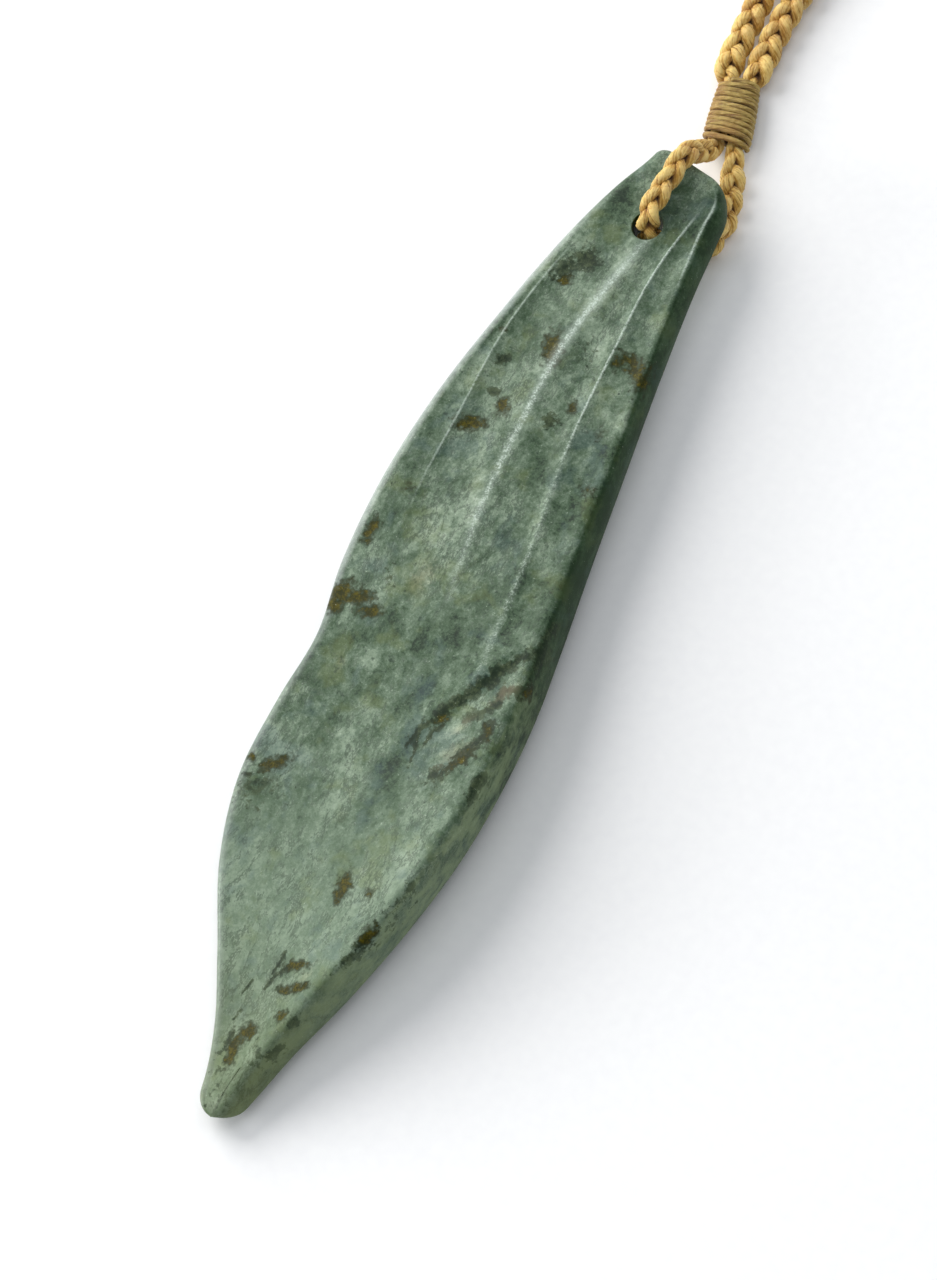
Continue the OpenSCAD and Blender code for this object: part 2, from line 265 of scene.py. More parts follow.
class Finish:
    """One material: its tree, the shader at the end of it, and the one method that adds nodes."""

    def __init__(self, name):
        self.material = bpy.data.materials.new(name)
        self.material.use_nodes = True
        self.tree = self.material.node_tree
        self.shader = self.tree.nodes["Principled BSDF"]

    def feed(self, slot, given):
        """Links a value to a socket, or sets the socket to a plain number."""
        if isinstance(given, Value):
            self.tree.links.new(given.socket, slot)
        else:
            slot.default_value = given

    def node(self, kind, settings, inputs, out=0):
        """Adds a node: its settings first, then its inputs by name or number. Gives one output."""
        made = self.tree.nodes.new(kind)
        for key, setting in settings.items():
            setattr(made, key, setting)

        def socket(group, key):
            named = {s.identifier: s for s in group}
            return group[key] if isinstance(key, int) else named.get(key) or group[key]

        for key, given in inputs.items():
            self.feed(socket(made.inputs, key), given)
        return Value(self, socket(made.outputs, out))

    def mix(self, a, b, factor):
        """Colour a where the factor is 0 and b where it is 1, each a Value or a paint's numbers."""
        a, b = (c if isinstance(c, Value) else paint(*c) for c in (a, b))
        wanted = {"A_Color": a, "B_Color": b, "Factor_Float": factor}
        return self.node("ShaderNodeMix", {"data_type": "RGBA"}, wanted, out="Result_Color")

    def layered(self, hue, *layers):
        """Colours laid over a first one in turn, each with the mask that says where it shows."""
        for colour, mask in layers:
            hue = self.mix(hue, colour, mask)
        return hue

    def noise(self, vector, scale, detail=3.0, rough=0.5, bend=0.0):
        """Clouds: scale counts them to a unit of the vector, detail adds finer ones."""
        wanted = {"Vector": vector, "Scale": scale, "Detail": detail, "Roughness": rough, "Distortion": bend}
        return self.node("ShaderNodeTexNoise", {}, wanted)

    def here(self):
        """The place on the piece, in metres."""
        return self.node("ShaderNodeTexCoord", {}, {}, out="Object")

    def field(self, name):
        """A number kept on the mesh's own points."""
        return self.node("ShaderNodeAttribute", {"attribute_name": name}, {}, out="Fac")

    def set(self, **sockets):
        """Sets or links sockets of the shader, with _ for each space in a socket's name."""
        for key, given in sockets.items():
            self.feed(self.shader.inputs[key.replace("_", " ")], given)
        return self.material


def paint(r, g, b):
    """A colour as a paint chart gives it, 0 to 255, turned into the light that it returns."""
    c = np.array([r, g, b]) / 255
    return (*np.where(c < 0.04045, c / 12.92, ((c + 0.055) / 1.055) ** 2.4), 1.0)


# %% [markdown]
# The cord is a flat plait of three strands, each a soft bundle of waxed thread about 1.3 mm thick.
# Its broad side shows two columns of leaning lobes that meet in a zigzag. A tube with a bump
# pattern would have a straight outline, so each strand is a real tube: across the cord it swings
# as a cosine, and up and down as a sine of twice the angle, which is just how three strands plait.
# The route repeats the source's points, in mm from the leaf's middle, with the cord's radius at
# each, smaller where the winding squeezes it.

# %% The cord's two sides
cord_r = 1.35  # of the plait at its full size, in mm
# Round the neck both sides are alike: how far out, y and height
NECK = np.array([
    [22, 116, 1.4], [33, 131.5, 1.4], [43.8, 149, 1.4], [53, 168, 1.4], [59, 184, 1.4], [63.5, 200, 1.4],
    [66.5, 216, 1.4], [68.2, 234, 1.4], [68.6, 256, 1.4], [67.5, 277, 1.4], [64.5, 291, 1.4],
    [59.5, 304.5, 1.4], [52.5, 317, 1.4], [44, 327.5, 1.4], [34.5, 336, 1.4], [24, 342.3, 1.5],
    [14, 346.2, 1.8], [6, 348, 2], [0, 348, 2],
])


def side_route(side, start):
    """One side's route: its own rows of x, y, height and radius, then the neck's."""
    neck = np.column_stack([side * NECK[:, 0], NECK[:, 1:], np.full(len(NECK), cord_r)])
    return np.vstack([start, neck])


LEFT_SIDE = side_route(-1, [
    [-1.2, 43.15, 4.9, 1.38], [-1.2, 43.15, 6, 1.25], [-1.22, 43.45, 7.1, 1.08], [-1.3, 44.5, 7.8, 1.1],
    [-1.2, 46.4, 7.85, 1.1], [-1, 48.5, 7.85, 1.1], [-0.9, 50.2, 7.7, 1.1], [-0.8, 51.6, 6.95, 1.1],
    [-0.75, 52.3, 5.8, 1.1], [-0.75, 53.2, 4.6, 1.1], [-0.7, 54.1, 3.3, 1.05], [-0.8, 54.95, 2.2, 0.95],
    [-1.12, 55.91, 1.45, 0.85], [-1.3, 56.64, 1.4, 0.85], [-2.74, 62.52, 1.4, 0.85],
    [-3.39, 63.49, 1.4, 1.28], [-3.85, 67, 1.4, 1.35], [-3.95, 70, 1.4, 1.35], [-4.1, 74, 1.4, 1.35],
    [-5, 79, 1.4, 1.35], [-7, 86, 1.4, 1.35], [-10.5, 95, 1.4, 1.35], [-15.5, 105, 1.4, 1.35],
])
RIGHT_SIDE = side_route(1, [
    [-1.2, 43.15, 4.9, 1.38], [-1.2, 43.15, 3.8, 1.38], [-1, 43.2, 2.6, 1.15], [0.2, 43.6, 1.5, 1.1],
    [1.9, 44.5, 1.3, 1.2], [3.05, 45.6, 1.3, 1.25], [3.55, 47, 1.3, 1.25], [3.4, 48.9, 1.3, 1.25],
    [2.9, 50.7, 1.3, 1.25], [2.3, 52.4, 1.3, 1.25], [1.75, 53.9, 1.35, 1.15], [1.3, 54.95, 1.4, 0.98],
    [0.83, 56.39, 1.4, 0.85], [0.65, 57.12, 1.4, 0.85], [-0.8, 62.99, 1.4, 0.85], [-0.67, 64.16, 1.4, 1.28],
    [-0.85, 67.5, 1.4, 1.35], [-0.85, 71, 1.4, 1.35], [-0.45, 75, 1.4, 1.35], [0.5, 80, 1.4, 1.35],
    [3, 87, 1.4, 1.35], [7.5, 95.5, 1.4, 1.35], [14, 105.5, 1.4, 1.35],
])


def walk(route, apart):
    """Points and radii every `apart` mm along the smooth curve through a route, in the frame: its
    columns are curves over the summed distance between its points."""
    reach = lengths(route[:, :3])
    table = np.column_stack([reach, route])
    fine = np.arange(0, reach[-1], 0.05)
    curve = np.stack([through(table, c, fine) for c in (1, 2, 3, 4)], -1)
    run = lengths(curve[:, :3])
    at = np.linspace(0, run[-1], int(run[-1] / apart))
    taken = np.stack([np.interp(at, run, curve[:, c]) for c in range(4)], -1)
    return at, taken[:, :3] - [0, leaf_middle, 0], taken[:, 3]


def plait_axes(at, line, turn):
    """Along, across and through of a cord: across is level and square to where it heads over a
    few mm, and both turn about the cord by an angle. In the upright hole, across is the leaf's
    own, so that the two sides meet as one plait."""
    along = unit(np.gradient(line, at, axis=0))
    steps = max(1, int(2.0 / (at[1] - at[0])))
    padded = np.pad(line, ((steps, steps), (0, 0)), mode="edge")
    heading = padded[2 * steps:] - padded[:-2 * steps]
    heading[:, 2] = 0
    level = unit(np.cross([0, 0, 1], unit(heading)))
    in_hole = 1 - ease(1.5, 6.0, at)[:, None]
    level = unit(level * (1 - in_hole) + np.array([-1.0, 0, 0]) * in_hole)
    across = unit(level - (level * along).sum(1, keepdims=True) * along)
    through_way = np.cross(along, across)
    c, s = np.cos(turn)[:, None], np.sin(turn)[:, None]
    return along, c * across + s * through_way, c * through_way - s * across


def tube(line, at, side, wide, thick, sides, ply, lay, deep):
    """A tube round a line: an ellipse square to it, whose radius ripples with `ply` ridges that
    wind once round in `lay` mm."""
    along = unit(np.gradient(line, at, axis=0))
    up = unit(side - (side * along).sum(1, keepdims=True) * along)
    over = np.cross(along, up)
    a = np.linspace(0, 2 * math.pi, sides, endpoint=False)[None, :]
    ripple = 1 + deep * np.abs(np.cos(ply / 2 * (a - 2 * math.pi * at[:, None] / lay))) - deep
    return (
        line[:, None]
        + (wide[:, None] * ripple * np.cos(a))[..., None] * over[:, None]
        + (thick[:, None] * ripple * np.sin(a))[..., None] * up[:, None]
    )


# Half sizes in mm at the plait's full size: a strand's swing and lift, the strand, the whole plait
swing, lift = 0.72, 0.54
strand_wide, strand_thick = 0.67, 0.52
plait_wide, plait_thick = 1.38, 1.03


def plait(name, route, turn, pitch=7.4, sides=18):
    """Three strands: across = swing x cosine of the angle, through = lift x sine of twice it, a
    third of a turn apart and none quite even. Turn is a table of distance in mm and degrees. How
    far out a point lies, 1 at the plait's outline, is kept as its crown."""
    at, line, radius = walk(route, 0.3)
    table = np.array(turn, float)
    angle = np.radians(np.interp(at, table[:, 0], table[:, 1]))
    along, across, over = plait_axes(at, line, angle)
    size = radius / cord_r
    strands, crowns = [], []
    for k in range(3):
        uneven = 0.16 * np.sin(0.83 * at + 2 * k) + 0.1 * np.sin(0.37 * at)
        u = 2 * math.pi * (at / pitch + k / 3) + uneven
        swung = (swing * size * -np.cos(u))[:, None] * across
        lifted = (lift * size * np.sin(2 * u))[:, None] * over
        plump = size * (1 + 0.06 * np.cos(2 * u) + 0.05 * np.sin(1.31 * at + 1.7 * k))
        wide, thick = strand_wide * plump, strand_thick * plump
        made = tube(line + (swung + lifted), at, over, wide, thick, sides, ply=6, lay=3.4, deep=0.17)
        out = (made - line[:, None]) / size[:, None, None]
        sideways, upward = ((out * way[:, None]).sum(-1) for way in (across, over))
        strands.append(made)
        # The crown drives painted light in the thread's finish: a painted highlight where it is high,
        # painted shade in the creases where it is low
        crowns.append(np.hypot(sideways / plait_wide, upward / plait_thick))
    piece = skin(name, strands, cord_finish, crowns)
    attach(piece, "root")
    return piece


# %% [markdown]
# The thread's finish follows the strand it is on: fine fibres run along it with a slight twist, so the
# pattern reads the piece's own UV map. Waxed thread is golden and a little shiny; a painted highlight makes
# its crowns paler, and painted shade takes it to orange brown where it dips. The same finish, greener,
# serves the thin winding.

# %% Waxed thread
def waxed_thread(name, pale, mid, low, lay, fibre):
    """Three colours blended by the crown field, clouds and fibres, with a painted highlight on the crowns
    and painted shade, darkest in the creases, and a bump of the fibres, which are `fibre` round it and go
    once round in `lay` mm."""
    f = Finish(name)
    uv = f.node("ShaderNodeUVMap", {"uv_map": "along"}, {})
    round_way, long_way = (f.node("ShaderNodeSeparateXYZ", {}, {"Vector": uv}, out=k) for k in "XY")
    twisted = f.node("ShaderNodeCombineXYZ", {}, {
        "X": (round_way + long_way / lay) * fibre,
        "Y": long_way * 0.45,
    })
    fibres = f.noise(twisted, 1, 4, 0.72)
    here = f.here()
    clouds = f.noise(here, 420, 3, 0.6)
    specks = f.noise(here, 2600, 2, 0.5)
    crown = f.field("crown")
    # body is mostly fibres and clouds; its crown part paints light, paler on the strands' crowns and darker
    # where they dip
    body = crown * 0.5 + clouds * 0.46 + fibres * 1.3
    hue = f.layered(
        low,
        (mid, body.step(0.9, 1.34)),
        (pale, (body + specks * 0.45).step(1.4, 1.74) * 0.9),
        ((112, 64, 8), (0.45 - fibres).step(0, 0.1) * 0.5),  # painted shade in the grooves between fibres
        ((146, 84, 26), f.noise(here, 260, 2, 0.5).step(0.5, 0.66) * 0.3),  # stained parts
        ((74, 42, 6), (0.62 - crown).step(0, 0.32) * 0.74),  # painted shade in the creases between strands
    )
    bump = f.node("ShaderNodeBump", {}, {
        "Strength": 0.9, "Distance": 0.0003, "Height": fibres + specks * 0.45,
    }, out="Normal")
    return f.set(
        Base_Color=hue, Roughness=0.44 + fibres * 0.16, Normal=bump,
        Subsurface_Weight=0.1, Subsurface_Radius=(0.5 * mm, 0.3 * mm, 0.1 * mm), Subsurface_Scale=1.0,
        Sheen_Weight=0.1, Sheen_Roughness=0.4,
    )


cord_finish = waxed_thread(
    "waxed_plait", (250, 218, 134), (216, 168, 72), (150, 92, 16), lay=4.5, fibre=15.0)
# How the plait's broad side turns about the cord: distance from the hole in mm, and degrees
left_turn = [[0, 0], [2, 0], [6, 20], [10, 30], [13, 60], [16, 60], [20, 15], [24, 8], [30, 0], [400, 0]]
right_turn = [[0, 0], [2, 0], [5, 50], [8, 80], [11, 60], [13, 22], [22, 10], [26, 0], [400, 0]]
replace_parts(plait("plait_left", LEFT_SIDE, left_turn), "cord_left")
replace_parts(plait("plait_right", RIGHT_SIDE, right_turn), "cord_right")

# %% [markdown]
# The winding is one thin thread laid round both sides of the cord eleven times, pulled tight. It is
# modelled as what it is: a helix round the outline of the two squeezed cords, an oval, with the
# thread a little thicker than the step from turn to turn, so that no gap shows. Its turns lean,
# the lowest the most, and that one runs off downwards. A straight and even one joins the cord's
# two ends at the nape.

# %% The winding
def oval(angle, wide, high, fullness):
    """Points round an oval: cosine and sine of the angle, each to the power of two over the
    fullness. Two is an ellipse, and more fills its corners."""
    c, s = np.cos(angle), np.sin(angle)
    return (
        wide * np.sign(c) * np.abs(c) ** (2 / fullness),
        high * np.sign(s) * np.abs(s) ** (2 / fullness),
    )


def set_down(points, way, x, y, z):
    """Points turned about the upright axis by an angle in degrees and moved to a place, whose y
    counts from the leaf's middle."""
    c, s = math.cos(math.radians(way)), math.sin(math.radians(way))
    return points @ np.array([[c, s, 0], [-s, c, 0], [0, 0, 1]]) + [x, y - leaf_middle, z]


def winding(name, turns, pitch, wide, high, thread, place, lean=(0, 0), taper=0, tail=0):
    """A thread wound round an oval: each turn steps on by the pitch and leans across, from lean's
    first number at the bottom to its second, the oval narrows by `taper` to the top, and the
    first turn runs out by `tail`."""
    angle = np.linspace(0, 2 * math.pi * turns, int(turns * 60))
    share = angle / angle[-1]
    size = 1 - taper * share * share
    x, z = oval(angle, wide, high, 2.3)
    wobble = 0.035 * np.sin(1.7 * angle + 0.6) + 0.03 * np.sin(0.61 * angle)
    leans = (lean[0] * (1 - share) + lean[1] * share) * x
    y = pitch * (angle / (2 * math.pi) - turns / 2) + leans + wobble
    y -= tail * (1 - ease(0, 0.09, share))
    line = np.stack([x * size, y, z * size + 0.02 * np.sin(2.3 * angle)], -1)
    at = lengths(line)
    lengthwise = np.broadcast_to([0.0, 1.0, 0.0], line.shape)
    half = np.full(len(at), thread)
    made = tube(line, at, lengthwise, half * 0.88, half, 12, ply=4, lay=2.0, deep=0.05)
    out = unit(line * [1, 0, 1])[:, None]
    # The crown is highest on the thread's outer side, so the finish paints that side paler as a painted
    # highlight and the side against the cord darker as painted shade
    crown = 0.62 + 0.38 * ((made - line[:, None]) * out).sum(-1) / thread
    piece = skin(name, [set_down(made, *place)], thread_finish, [crown])
    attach(piece, "root")
    return piece


thread_finish = waxed_thread(
    "winding_thread", (194, 168, 92), (150, 121, 50), (92, 66, 18), lay=6.0, fibre=7.0)
whip = winding(
    "whipping_thread", turns=11.3, pitch=0.565, wide=2.2, high=1.1, thread=0.295,
    place=(13.8, -0.98, 59.55, 1.4), lean=(-0.17, -0.04), taper=0.18, tail=0.35,
)
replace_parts(whip, "whipping")
nape = winding(
    "nape_thread", turns=19, pitch=0.5, wide=1.73, high=1.73, thread=0.262, place=(-90, 0, 348, 2.0))
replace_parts(nape, "nape_binding")

# %% [markdown]
# The leaf is a loft. Its left side is a thin rounded rim, its right side a softened edge above a
# leaning wall, and its face carries four shallow flutes between three raised veins, which die out
# where a soft fold crosses it. Below the fold the face is one dish. A sculpted mesh could look
# like it, but a table of sections keeps it measured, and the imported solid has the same. Here the
# grid is finer, and its columns follow the veins, so each vein is one clean line.

# %% The leaf's form
leaf_long, hole_round, tip_round = 100, 1.0, 2.2  # its length, and how far its ends round off

LEAF_NAMES = ["along", "left", "edge", "wall", "z_left", "z_edge", "z_wall", "z_low", "rim", "shoulder"]
LEAF = np.array([
    [0, -4.1, 2.9, 3.5, 6.3, 6.5, 4.3, 3.2, 1.0, 0.5],
    [2, -4.75, 3.9, 4.6, 6.4, 6.6, 4.25, 3.2, 1.05, 0.5],
    [5, -6.2, 4.0, 4.9, 6.5, 6.7, 4.2, 3.2, 1.1, 0.5],
    [10, -8.3, 4.4, 5.1, 6.6, 6.8, 4.0, 3.0, 1.2, 0.5],
    [20, -10.9, 5.5, 5.9, 6.5, 7.0, 3.4, 2.3, 1.3, 0.6],
    [30, -12.9, 6.8, 7.0, 6.1, 7.1, 2.9, 1.5, 1.3, 0.9],
    [40, -13.9, 7.8, 8.2, 5.4, 7.3, 2.6, 0.9, 1.3, 1.1],
    [48, -13.8, 9.0, 9.3, 4.4, 7.8, 2.5, 0.5, 1.1, 1.2],
    [55, -12.8, 9.8, 10.1, 3.7, 8.2, 2.4, 0.2, 0.9, 1.2],
    [62, -13.4, 10.2, 10.3, 3.1, 8.4, 2.3, 0.1, 0.8, 1.1],
    [70, -13.4, 9.7, 9.8, 2.7, 8.4, 2.2, 0.1, 0.8, 1.1],
    [78, -11.2, 8.2, 8.3, 2.5, 8.0, 2.1, 0.1, 0.8, 1.2],
    [86, -7.1, 5.3, 6.1, 2.4, 6.8, 1.9, 0.2, 0.8, 1.3],
    [92, -4.1, 3.0, 4.0, 2.4, 5.3, 1.7, 0.3, 0.8, 1.2],
    [96, -2.7, 1.6, 2.9, 2.4, 4.2, 1.6, 0.4, 0.8, 0.9],
    [100, -1.9, 0.9, 1.8, 2.4, 3.4, 1.6, 0.5, 0.8, 0.8],
])
# Where the three veins lie across the face, as shares of it, by the distance from the hole end
VEINS = np.array([
    [0, 0.03, 0.62, 0.93], [10, 0.03, 0.53, 0.77], [20, 0.04, 0.44, 0.75], [30, 0.12, 0.455, 0.745],
    [40, 0.15, 0.48, 0.79], [50, 0.2, 0.52, 0.78], [60, 0.25, 0.55, 0.76],
])
# How deep each flute is, where along the leaf it begins, is full, starts to fade and is gone, and
# its bow from vein to vein: a factor that makes it 1 at its deepest, and the powers of both sides
FLUTES = [
    (0.12, 12, 28, 30, 44, 4, 1, 1), (0.33, 4, 20, 30, 50, 6.75, 1, 2),
    (0.3, 0, 12, 38, 54, 6.75, 2, 1), (0.32, 0, 10, 44, 58, 4, 1, 1),
]


def sizes_at(s):
    """Every column of the leaf's table at the distances s, by name, as columns of one."""
    return {n: through(LEAF, i, s)[:, None] for i, n in enumerate(LEAF_NAMES) if i}


def vein_shares(s):
    """Where the left end, the three veins and the right end of the face lie, as shares of it."""
    low = np.minimum(s, 60)
    return [np.zeros((len(s), 1)), *(through(VEINS, c, low)[:, None] for c in (1, 2, 3)),
            np.ones((len(s), 1))]


def face_parts(s, z, counts):
    """The face as x and height: a straight line between its edges, less the flutes, each a bow
    from vein to vein, less the dish, plus the ridge of the fold. It stops where the shoulder
    starts."""
    shares = vein_shares(s)
    wide = z["edge"] - z["left"] - z["rim"]
    stop = 1 - z["shoulder"] / wide
    t_parts, scoop_parts = [], []
    for k, (n, (deep, begin, full, fade, gone, factor, left, right)) in enumerate(zip(counts, FLUTES)):
        last = k == len(counts) - 1
        w = np.linspace(0, 1, n + 1)[None, : n + last]
        w = w * ((stop - shares[k]) / (1 - shares[k]) if last else 1)
        t_parts.append(shares[k] + (shares[k + 1] - shares[k]) * w)
        strength = deep * ease(begin, full, s) * (1 - ease(fade, gone, s))
        scoop_parts.append(factor * w ** left * (1 - w) ** right * strength[:, None])
    t, scoop = np.concatenate(t_parts, 1), np.concatenate(scoop_parts, 1)
    sc = s[:, None]
    x = z["left"] + z["rim"] + wide * t
    dish = 0.9 * ease(46, 66, sc) * (1 - ease(88, 98, sc)) * 4 * t * (1 - t)
    off = (x - (through(LEAF, 2, np.array([47.0])) - 0.53 * (sc - 47))) / 1.25
    fold = 0.4 * np.exp(-off * off) * ease(44, 48, sc) * (1 - ease(54, 66, sc)) * ease(0, 0.12, 1 - t)
    return x, z["z_left"] + (z["z_edge"] - z["z_left"]) * t - scoop - dish + fold


def inset(d, r):
    """How much a section shrinks at the distance d from an end that is rounded by r, by the
    circle: r less the root of r squared less the rest squared."""
    return r - np.sqrt(r * r - np.maximum(r - d, 0) ** 2)


def drawn_in(v, cut):
    """Rows of numbers drawn in towards their means, so that half of each row's reach is less by
    its cut."""
    middle = v.mean(1, keepdims=True)
    return middle + (v - middle) * np.maximum(1 - cut / (np.ptp(v, 1) / 2), 0.02)[:, None]


def end_slant(s, x):
    """How far a point is pushed out at the hole end, more on the left, fading out along the leaf."""
    return (1 - ease(0, 14, s)) * (0.68 - 0.27 * (x - 0.3))


def leaf_grid(s, rim_n=12, counts=(20, 40, 28, 30), round_n=10, wall_n=18, back_n=46):
    """All sections at once. Round each: the rim's quarter circle, the face, the shoulder, a curve
    of second degree drawn to the corner, the wall with a slight belly, and the back, a bow of a
    sine. Towards both ends the section shrinks."""
    z = sizes_at(s)
    a = np.linspace(0, math.pi / 2, rim_n, endpoint=False)[None]
    rim_x = z["left"] + z["rim"] - z["rim"] * np.cos(a)
    rim_z = z["z_left"] - z["rim"] + z["rim"] * np.sin(a)
    face_x, face_z = face_parts(s, z, counts)
    first = z["shoulder"] / np.hypot(z["wall"] - z["edge"], z["z_wall"] - z["z_edge"])
    t = first + (1 - first) * np.linspace(0, 1, wall_n + 1)[None]
    wall_x = z["edge"] + (z["wall"] - z["edge"]) * t + 0.3 * np.sin(math.pi * t)
    wall_z = z["z_edge"] + (z["z_wall"] - z["z_edge"]) * t
    c = np.linspace(0, 1, round_n + 1)[None, 1:-1]
    near, corner, far = (1 - c) ** 2, 2 * c * (1 - c), c * c
    round_x = near * face_x[:, -1:] + corner * z["edge"] + far * wall_x[:, :1]
    round_z = near * face_z[:, -1:] + corner * z["z_edge"] + far * wall_z[:, :1]
    b = np.linspace(0, math.pi, back_n + 1)[None, 1:-1]
    w = (1 - np.cos(b)) / 2
    foot = z["z_left"] - z["rim"]
    back_x = z["wall"] + (z["left"] - z["wall"]) * w
    back_z = z["z_wall"] + (foot - z["z_wall"]) * w - ((z["z_wall"] + foot) / 2 - z["z_low"]) * np.sin(b)
    x = np.concatenate([rim_x, face_x, round_x, wall_x, back_x], 1)
    h = np.concatenate([rim_z, face_z, round_z, wall_z, back_z], 1)
    cut = inset(s, hole_round) + inset(leaf_long - s, tip_round)
    x, h = drawn_in(x, cut), drawn_in(h, cut)
    y = leaf_long / 2 - s[:, None] + end_slant(s[:, None], x)
    return np.stack([x, y - leaf_middle, h], -1)


# The end rows step by a cosine, so that the rounded ends get enough
hole_end = hole_round * (1 - np.cos(np.linspace(0, math.pi / 2, 14, endpoint=False)))
tip_end = leaf_long - tip_round * (1 - np.cos(np.linspace(math.pi / 2, 0, 18)))
stations = np.concatenate([hole_end, np.arange(hole_round, leaf_long - tip_round, 0.245), tip_end])
leaf_points = leaf_grid(stations)
print("leaf grid", leaf_points.shape[:2], "size", np.round(np.ptp(leaf_points.reshape(-1, 3), 0), 2), "mm")

# %% [markdown]
# The cord's hole is drilled, so it is cut with a tool of its own shape, and not drawn on. The real
# drill leaves sharp mouths, and polishing rounds them, so the tool is a turned profile that flares
# where it meets the face and the back.

# %% The drilled hole
def turned(profile, x, y, sides):
    """A round grid from a profile of radius and height, turned about an upright axis."""
    a = np.linspace(0, 2 * math.pi, sides, endpoint=False)
    r, h = profile[:, 0][:, None], profile[:, 1][:, None]
    return np.stack([x + r * np.cos(a), y + r * np.sin(a), h + 0 * a], -1)


def heights_at(points, x, y):
    """Heights of the leaf's lower and upper side at a place, by its points within 0.3 mm."""
    flat = points.reshape(-1, 3)
    near = flat[np.hypot(flat[:, 0] - x, flat[:, 1] - y) < 0.3, 2]
    return near.min(), near.max()


def lip(height, side):
    """The tool's flare at the leaf's upper (1) or lower (-1) side: a quarter circle that widens
    the hole by the mouth."""
    a = np.linspace(0, math.pi / 2, 9)
    out = height + side * 0.05 - side * mouth + side * mouth * np.sin(a)
    return np.stack([hole_r + mouth * (1 - np.cos(a)), out], -1)


hole_x, hole_y, hole_r, mouth = -1.25, 43.15 - leaf_middle, 1.5, 0.22
low, top = heights_at(leaf_points, hole_x, hole_y)
profile = np.concatenate([[[1.8, low - 2.0]], lip(low, -1)[::-1], lip(top, 1), [[1.8, top + 2.0]]])
print("hole from height", round(low, 2), "to", round(top, 2), "mm")


def drilled(piece, tool):
    """The piece less the tool, and the tool taken away."""
    cut = piece.modifiers.new("drill", "BOOLEAN")
    cut.operation, cut.solver, cut.object = "DIFFERENCE", "EXACT", tool
    seen = piece.evaluated_get(bpy.context.evaluated_depsgraph_get())
    mesh = bpy.data.meshes.new_from_object(seen)
    piece.modifiers.clear()
    piece.data = mesh
    mesh.name = piece.name
    bpy.data.objects.remove(tool)
    return piece


leaf_finish = Finish("greenstone")
leaf = skin("leaf_stone", [leaf_points], leaf_finish.material)
leaf = drilled(leaf, skin("drill", [turned(profile, hole_x, hole_y, 72)], leaf_finish.material))
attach(leaf, "root")
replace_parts(leaf, "leaf")
print("leaf after drilling:", len(leaf.data.polygons), "faces")

# %% [markdown]
# What makes this stone itself are its inclusions: rust-brown spots with dark rims, green-black streaks under
# the fold, paler clouds. A noise alone would never put them right, so short tables chart them. From these
# every point of the leaf gets a number, highest inside, and the shader cuts it with fine noise, so that the
# edges are ragged as in the stone. They have depth, so the wall shows them where they reach it. More numbers
# say where deep and pale clouds lie, how far each vein is, and where the thin rim carries a painted
# highlight and a gloss coat.

# %% Inclusions
# Spots: distance from the hole end, place across, height, half length, half width, way, strength
RUST = np.array([
    [21.9, -3.8, 6.5, 1.5, 0.75, -67, 1], [20.9, 2.9, 6.4, 0.9, 0.75, -60, 0.8],
    [20.4, 3.9, 6.4, 1.25, 0.6, 5, 0.95], [21.6, 5.1, 6.5, 1.3, 0.75, -60, 0.9],
    [14.7, -6.1, 6.3, 0.6, 0.5, 24, 0.85], [28.7, -5.7, 6, 0.85, 0.6, -57, 0.95],
    [31.4, -8, 5.9, 1.15, 0.62, 14, 1], [26.7, 0.6, 6.3, 0.7, 0.42, -63, 0.8],
    [28.1, 4, 6.5, 0.7, 0.6, 15, 0.5], [21.5, -9.4, 6.4, 0.55, 0.36, 26, 0.7],
    [44.3, -12.1, 5, 1.1, 0.55, -95, 0.9], [39.4, -10.6, 5.6, 0.75, 0.5, 15, 0.6],
    [33.8, 5.8, 6.7, 1.1, 0.45, -36, 0.5], [50.8, -12, 4.3, 1.3, 0.9, 40, 1],
    [50.6, -10.2, 4.4, 1.3, 0.65, 10, 1], [51.9, -12.4, 4.1, 0.95, 0.75, -30, 1],
    [51.5, -8.5, 4.6, 1.1, 0.52, 17, 1], [68, -10.4, 3, 1.35, 0.55, 43, 1],
    [68.2, -12.9, 2.8, 0.55, 0.4, 11, 0.8], [76.9, 2.3, 5.5, 1.1, 0.6, -80, 1],
    [76.7, 5.4, 6.7, 0.8, 0.55, 19, 0.5], [80.6, 7.3, 7.7, 0.95, 0.6, -107, 1],
    [84.9, 1.6, 4.6, 1.35, 0.42, 12, 0.95], [87.3, 1.6, 4.4, 0.9, 0.42, 5, 0.8],
    [86.8, 2.9, 5.2, 0.95, 0.48, 20, 1], [89.7, 2.5, 4.8, 0.55, 0.45, 7, 0.95],
    [91.9, -0.3, 3.2, 0.85, 0.7, 17, 1], [93.9, -0.8, 3, 1.5, 0.52, -75, 1],
    [59.3, 3.5, 6.4, 0.6, 0.42, 20, 0.95], [59.4, 8.7, 7.9, 0.9, 0.5, -60, 0.75],
    [62.5, 7.3, 7.4, 1.3, 0.55, -130, 0.8], [54.3, 10, 6.9, 0.8, 0.4, -90, 0.8],
])
